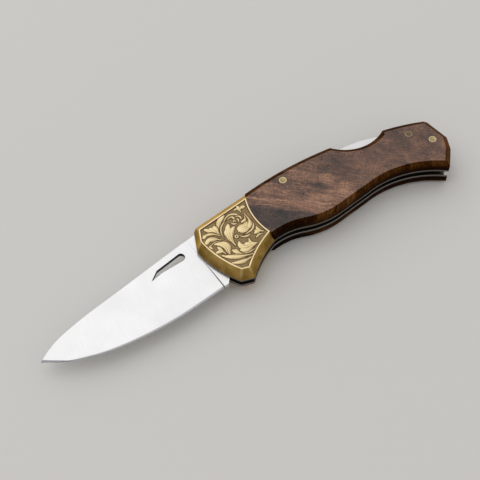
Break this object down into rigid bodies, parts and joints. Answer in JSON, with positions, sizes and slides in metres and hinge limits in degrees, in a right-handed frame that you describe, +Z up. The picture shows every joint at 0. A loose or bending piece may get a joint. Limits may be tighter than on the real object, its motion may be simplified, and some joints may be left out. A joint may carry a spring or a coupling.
{
  "type": "folding pocket knife",
  "caption": "Folding pocket knife with a drop-point blade that swings out of the handle on a pin and is held open by a sprung back lock, with brass bolsters and walnut scales.",
  "frame": {"origin": "on the blade's pivot axis, in the plane that the knife's right side lies on", "axes": "+X along the handle towards its butt, +Y towards the spine, +Z up, out of the left side"},
  "size_m": [0.177, 0.0433, 0.0128],
  "materials": {
    "blade_steel": "satin ground",
    "lock_steel": "satin",
    "spring_steel": "blued, satin",
    "frame_steel": "satin",
    "bolster_brass": "engraved and aged",
    "pin_brass": "satin",
    "washer_bronze": "smooth",
    "walnut": "oiled burl"
  },
  "bodies": {
    "handle": {"lock_spring": "spring_steel", "back_spacer": "frame_steel", "liner_right": "frame_steel", "liner_left": "frame_steel", "bolster_right": "bolster_brass", "bolster_left": "bolster_brass", "bolster_rivets_right": "pin_brass", "bolster_rivets_left": "pin_brass", "scale_right": "walnut", "scale_left": "walnut", "pivot_pin": "pin_brass", "lock_bar_pin": "pin_brass", "rear_pin_upper": "pin_brass", "rear_pin_lower": "pin_brass", "pivot_washer_right": "washer_bronze", "pivot_washer_left": "washer_bronze", "lock_bar_washer_right": "washer_bronze", "lock_bar_washer_left": "washer_bronze"},
    "blade": {"blade": "blade_steel"},
    "lock_bar": {"lock_bar": "lock_steel"}
  },
  "joints": [
    {"name": "blade_fold", "type": "hinge", "parent": "handle", "child": "blade", "pos_m": [0, 0, 0.0064], "axis": [0, 0, 1], "range_deg": [0, 172.5]},
    {"name": "lock_press", "type": "hinge", "parent": "handle", "child": "lock_bar", "pos_m": [0.02772, 0.01675, 0.0064], "axis": [0, 0, 1], "range_deg": [-0.8, 1.96], "stiffness_Nm_per_rad": 0.02, "springref_deg": 57.3, "deforming": ["lock_spring"]}
  ]
}
